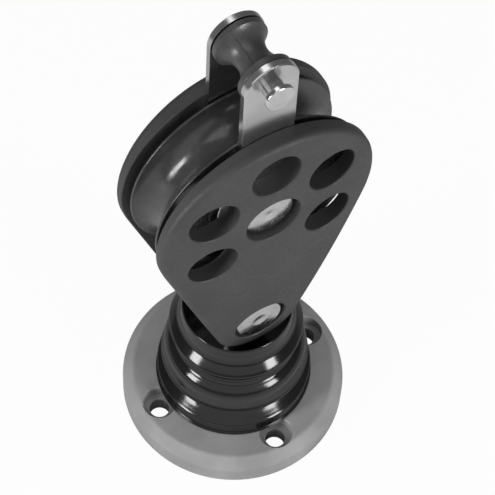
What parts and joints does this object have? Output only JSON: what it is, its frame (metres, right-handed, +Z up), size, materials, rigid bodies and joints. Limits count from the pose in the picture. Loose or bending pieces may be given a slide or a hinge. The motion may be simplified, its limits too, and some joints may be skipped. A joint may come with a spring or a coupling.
{
  "type": "stand-up sheave block",
  "caption": "Upright single sheave deck block on a round swivelling base with a rubber boot, tapered cheeks, load straps and a becket spool.",
  "frame": {"origin": "centre of the base plate's underside, on the deck", "axes": "+Z up from the deck through the swivel; the sheave's axle lies along Y and the rope leads along X"},
  "size_m": [0.071, 0.071, 0.181],
  "materials": {
    "base_nylon": "mid-grey glass-filled nylon, fine matt grain",
    "cheek_nylon": "black glass-filled nylon, matt textured moulding",
    "spool_nylon": "black moulded nylon, soft sheen",
    "sheave_acetal": "dark acetal, polished in the groove",
    "acetal": "natural acetal, turned",
    "boot_rubber": "glossy black moulded rubber",
    "strap_steel": "stainless steel strip, fine brushed",
    "pin_steel": "polished stainless steel",
    "ring_steel": "drawn stainless wire"
  },
  "bodies": {
    "base": {"base_plate": "base_nylon", "base_bush": "acetal"},
    "swivel": {"swivel_post": "pin_steel", "turntable": "acetal", "lower_thrust_washer": "acetal", "post_washer": "pin_steel", "post_nut": "pin_steel", "boot": "boot_rubber"},
    "link": {"toggle_link": "pin_steel", "toggle_pin": "pin_steel", "toggle_clip": "pin_steel"},
    "head": {"near_cheek": "cheek_nylon", "far_cheek": "cheek_nylon", "near_strap": "strap_steel", "far_strap": "strap_steel", "axle_pin": "pin_steel", "axle_rivet_washer": "pin_steel", "axle_sleeve": "pin_steel", "near_sheave_washer": "acetal", "far_sheave_washer": "acetal", "pivot_pin": "pin_steel", "pivot_rivet_washer": "pin_steel", "pivot_sleeve": "pin_steel", "near_pivot_washer": "acetal", "far_pivot_washer": "acetal"},
    "sheave": {"sheave": "sheave_acetal", "sheave_bush": "acetal"},
    "spool": {"becket_spool": "spool_nylon"},
    "becket_pin": {"becket_pin": "pin_steel"},
    "split_ring": {"split_ring": "ring_steel"}
  },
  "joints": [
    {"name": "base_swivel", "type": "hinge", "parent": "base", "child": "swivel", "pos_m": [0, 0, 0.01], "axis": [0, 0, 1], "continuous": true},
    {"name": "side_tilt", "type": "hinge", "parent": "swivel", "child": "link", "pos_m": [0, 0, 0.03], "axis": [1, 0, 0], "range_deg": [-30, 30], "stiffness_Nm_per_rad": 3, "deforming": ["boot"]},
    {"name": "fore_aft_pitch", "type": "hinge", "parent": "link", "child": "head", "pos_m": [0, 0, 0.06], "axis": [0, 1, 0], "range_deg": [-35, 35], "stiffness_Nm_per_rad": 2},
    {"name": "sheave_spin", "type": "hinge", "parent": "head", "child": "sheave", "pos_m": [0, 0, 0.119], "axis": [0, 1, 0], "continuous": true},
    {"name": "spool_spin", "type": "hinge", "parent": "head", "child": "spool", "pos_m": [0, 0, 0.173], "axis": [0, 1, 0], "continuous": true},
    {"name": "pin_float", "type": "slide", "parent": "head", "child": "becket_pin", "axis": [0, 1, 0], "range_m": [0, 0.0029]},
    {"name": "ring_swing", "type": "hinge", "parent": "becket_pin", "child": "split_ring", "pos_m": [0, 0.0107, 0.173], "axis": [1, 0, 0], "range_deg": [0, 110]}
  ]
}
